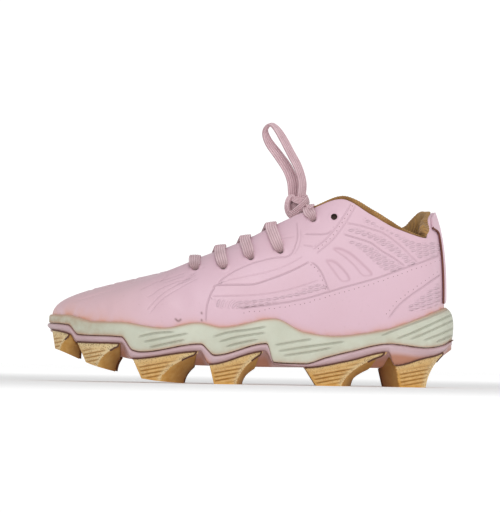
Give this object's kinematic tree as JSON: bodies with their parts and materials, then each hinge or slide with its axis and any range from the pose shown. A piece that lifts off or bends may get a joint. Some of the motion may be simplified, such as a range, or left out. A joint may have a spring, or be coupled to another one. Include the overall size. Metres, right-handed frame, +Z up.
{
  "type": "athletic cleat",
  "caption": "Low-cut moulded athletic cleat for the left foot: hollow laced upper on a ribbed foam midsole and a hooked plate with shark-fin studs, standing empty.",
  "frame": {"origin": "middle of the shoe's box on the floor that its studs stand on", "axes": "+X towards the heel, -X towards the toe, -Y the outer (lateral) side, +Z up"},
  "size_m": [0.2496, 0.0925, 0.1614],
  "materials": {
    "upper_pink": "satin moulded",
    "midsole_sage": "stippled foam",
    "plate_pink": "satin",
    "stud_gum": "ribbed gum",
    "lining_tan": "knit",
    "lace_pink": "woven"
  },
  "bodies": {
    "root": {"upper": "upper_pink", "backstay": "upper_pink", "midsole": "midsole_sage", "plate": "plate_pink", "stud_toe_lateral": "stud_gum", "stud_toe_medial": "stud_gum", "stud_forefoot_lateral": "stud_gum", "stud_forefoot_medial": "stud_gum", "stud_ball_lateral": "stud_gum", "stud_ball_medial": "stud_gum", "stud_arch_lateral": "stud_gum", "stud_arch_medial": "stud_gum", "stud_heel_front_lateral": "stud_gum", "stud_heel_front_medial": "stud_gum", "stud_heel_rear_lateral": "stud_gum", "stud_heel_rear_medial": "stud_gum", "insole": "lining_tan", "tongue": "lining_tan", "collar_lining": "lining_tan", "lace_bar": "lace_pink", "lace_cross_1": "lace_pink", "lace_cross_2": "lace_pink", "lace_cross_3": "lace_pink", "lace_cross_4": "lace_pink", "lace_knot": "lace_pink", "lace_loop": "lace_pink"}
  },
  "joints": []
}
